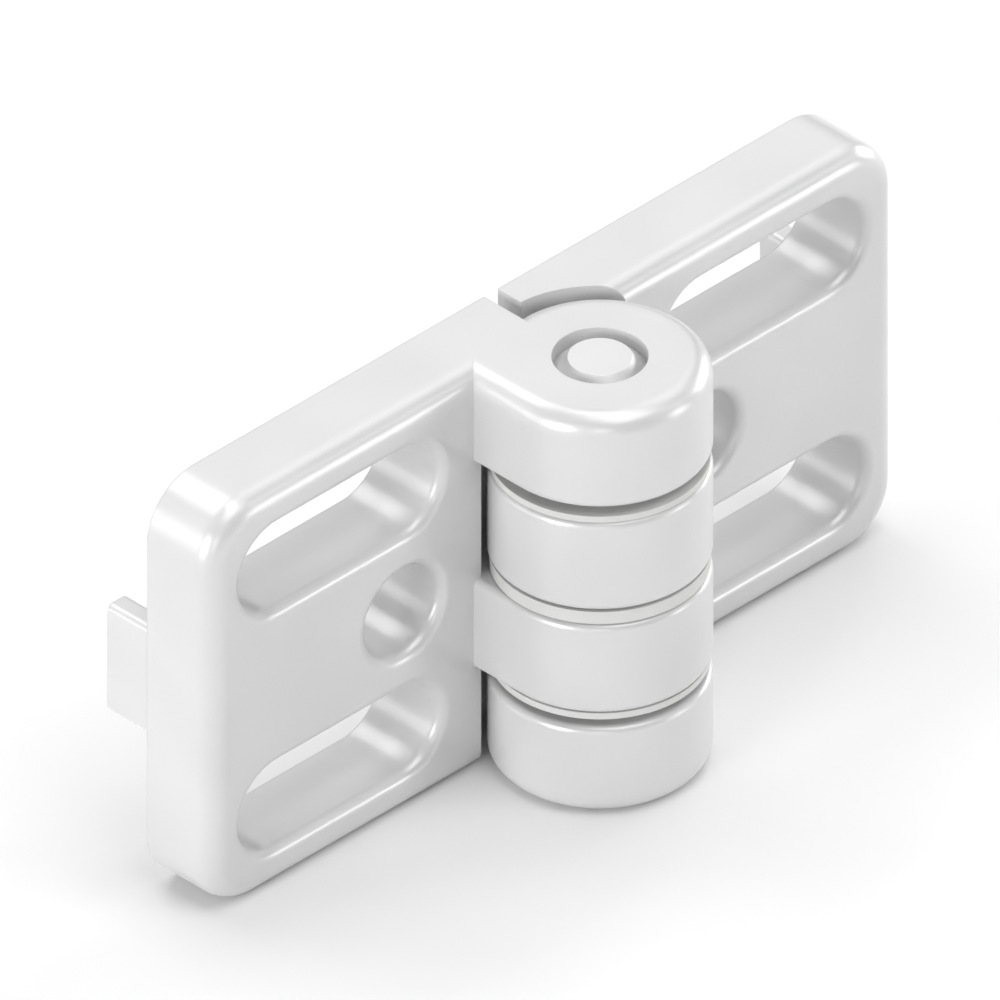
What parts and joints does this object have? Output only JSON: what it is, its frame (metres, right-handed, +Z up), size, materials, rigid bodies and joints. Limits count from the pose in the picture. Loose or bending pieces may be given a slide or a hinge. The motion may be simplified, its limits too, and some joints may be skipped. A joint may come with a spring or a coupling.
{
  "type": "hinge",
  "caption": "Flat-opening hinge for slotted profiles: square leaves with interleaved knuckles on a plain pin, round and slotted screw holes, and a keying lug behind each leaf.",
  "frame": {"origin": "in the mounting plane of the leaves' back faces, midway between the two leaves and at mid height, with the hinge opened flat", "axes": "+X along the leaves towards the swinging one, +Y out of the backs of the leaves into the profile, +Z up along the pin"},
  "size_m": [0.06, 0.0206, 0.03],
  "materials": {
    "casting": "satin",
    "steel": "satin",
    "washer": "matte"
  },
  "bodies": {
    "fixed_leaf": {"left_leaf": "casting", "hinge_pin": "steel", "thrust_washer_middle": "washer", "thrust_washer_lower": "washer"},
    "swinging_leaf": {"right_leaf": "casting", "thrust_washer_upper": "washer"}
  },
  "joints": [
    {"name": "leaf_swing", "type": "hinge", "parent": "fixed_leaf", "child": "swinging_leaf", "pos_m": [0, -0.0095, 0], "axis": [0, 0, -1], "range_deg": [-5, 180]}
  ]
}
